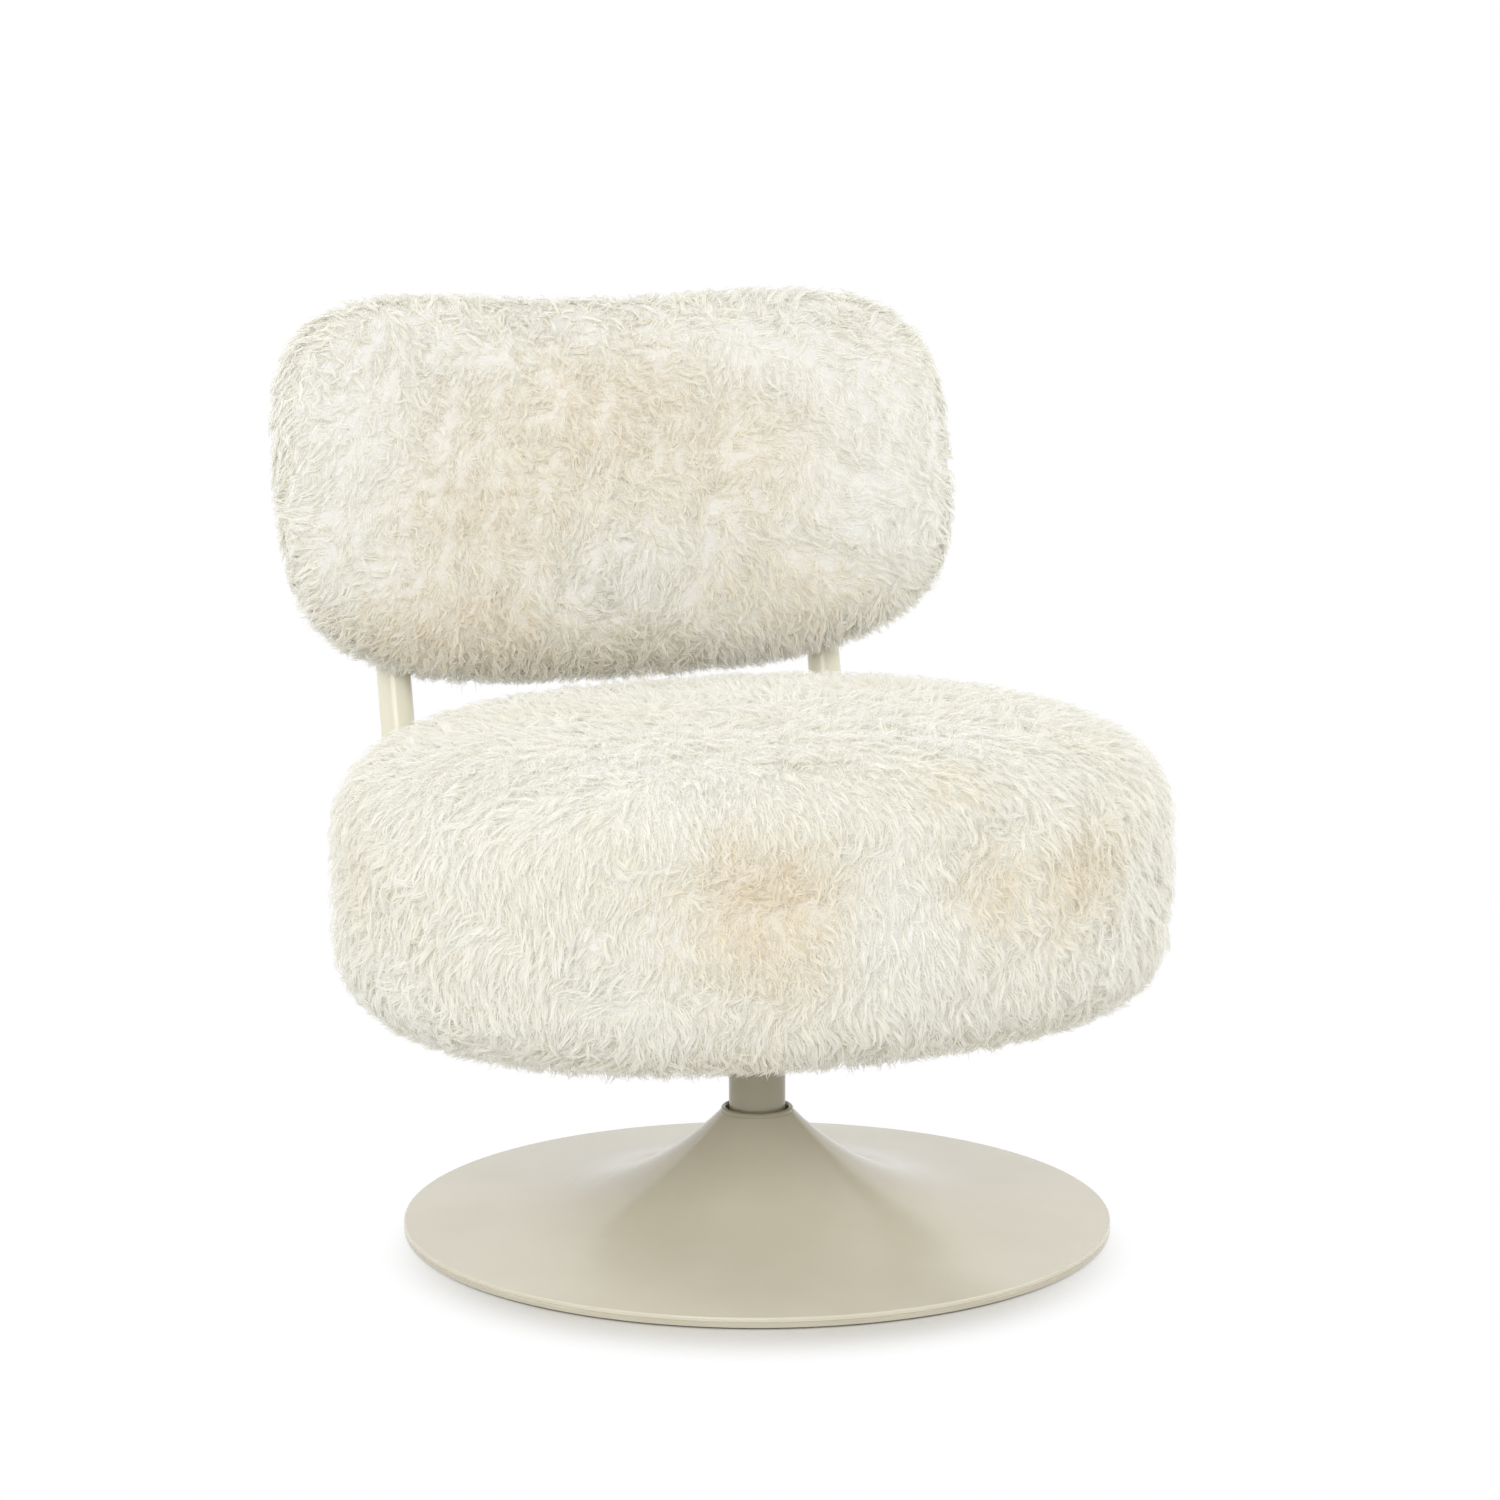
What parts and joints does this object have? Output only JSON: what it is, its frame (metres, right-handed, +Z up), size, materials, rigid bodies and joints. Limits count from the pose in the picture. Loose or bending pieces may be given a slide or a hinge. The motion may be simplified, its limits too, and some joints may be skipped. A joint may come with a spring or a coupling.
{
  "type": "swivel lounge chair",
  "caption": "Swivel lounge chair: deep oval seat cushion and curved back cushion in long sheepskin, back carried on bent tubes, short column on a round trumpet foot.",
  "frame": {"origin": "on the floor, under the axis of the column", "axes": "+Z up, the sitter faces -Y, +X to the left hand of the sitter"},
  "size_m": [0.711, 0.7051, 0.7734],
  "materials": {
    "foot_paint": "satin",
    "plate_paint": "satin",
    "tube_paint": "satin",
    "steel": "satin",
    "zinc_plate": "satin",
    "bearing_steel": "polished",
    "bronze": "satin",
    "black_plastic": "matte",
    "felt": "matte",
    "plywood": "satin",
    "foam": "matte",
    "sheepskin": "matte",
    "lining": "matte"
  },
  "bodies": {
    "base": {"floor_felt": "felt", "base_plate": "plate_paint", "base_cover": "foot_paint", "support_sleeve": "steel", "collar_ring": "foot_paint", "pivot_post": "steel", "foot_screws": "zinc_plate", "bearing_lower_race": "bearing_steel", "retaining_washer": "steel", "retaining_ring": "steel"},
    "bearing": {"ball_cage": "bronze", "bearing_balls": "bearing_steel"},
    "seat": {"bearing_upper_race": "bearing_steel", "lower_bush": "bronze", "upper_bush": "bronze", "column_tube": "foot_paint", "column_flange": "foot_paint", "flange_bolts": "zinc_plate", "flange_washers": "zinc_plate", "seat_tee_nuts": "zinc_plate", "seat_board": "plywood", "dust_cloth": "lining", "seat_foam": "foam", "seat_cover": "sheepskin", "upright_left": "tube_paint", "upright_right": "tube_paint", "rail_bolts": "zinc_plate", "tube_plugs": "black_plastic", "back_board": "plywood", "back_foam_front": "foam", "back_foam_rear": "foam", "back_cover_front": "sheepskin", "back_cover_rear": "sheepskin", "back_screws": "zinc_plate", "back_washers": "zinc_plate", "rivet_nuts": "zinc_plate"}
  },
  "joints": [
    {"name": "seat_swivel", "type": "hinge", "parent": "base", "child": "seat", "pos_m": [0, 0, 0.18], "axis": [0, 0, 1], "continuous": true},
    {"name": "bearing_turn", "type": "hinge", "parent": "base", "child": "bearing", "pos_m": [0, 0, 0.0416], "axis": [0, 0, 1], "continuous": true}
  ],
  "couplings": [
    {"joint": "bearing_turn", "follows": "seat_swivel", "ratio": 0.5}
  ]
}
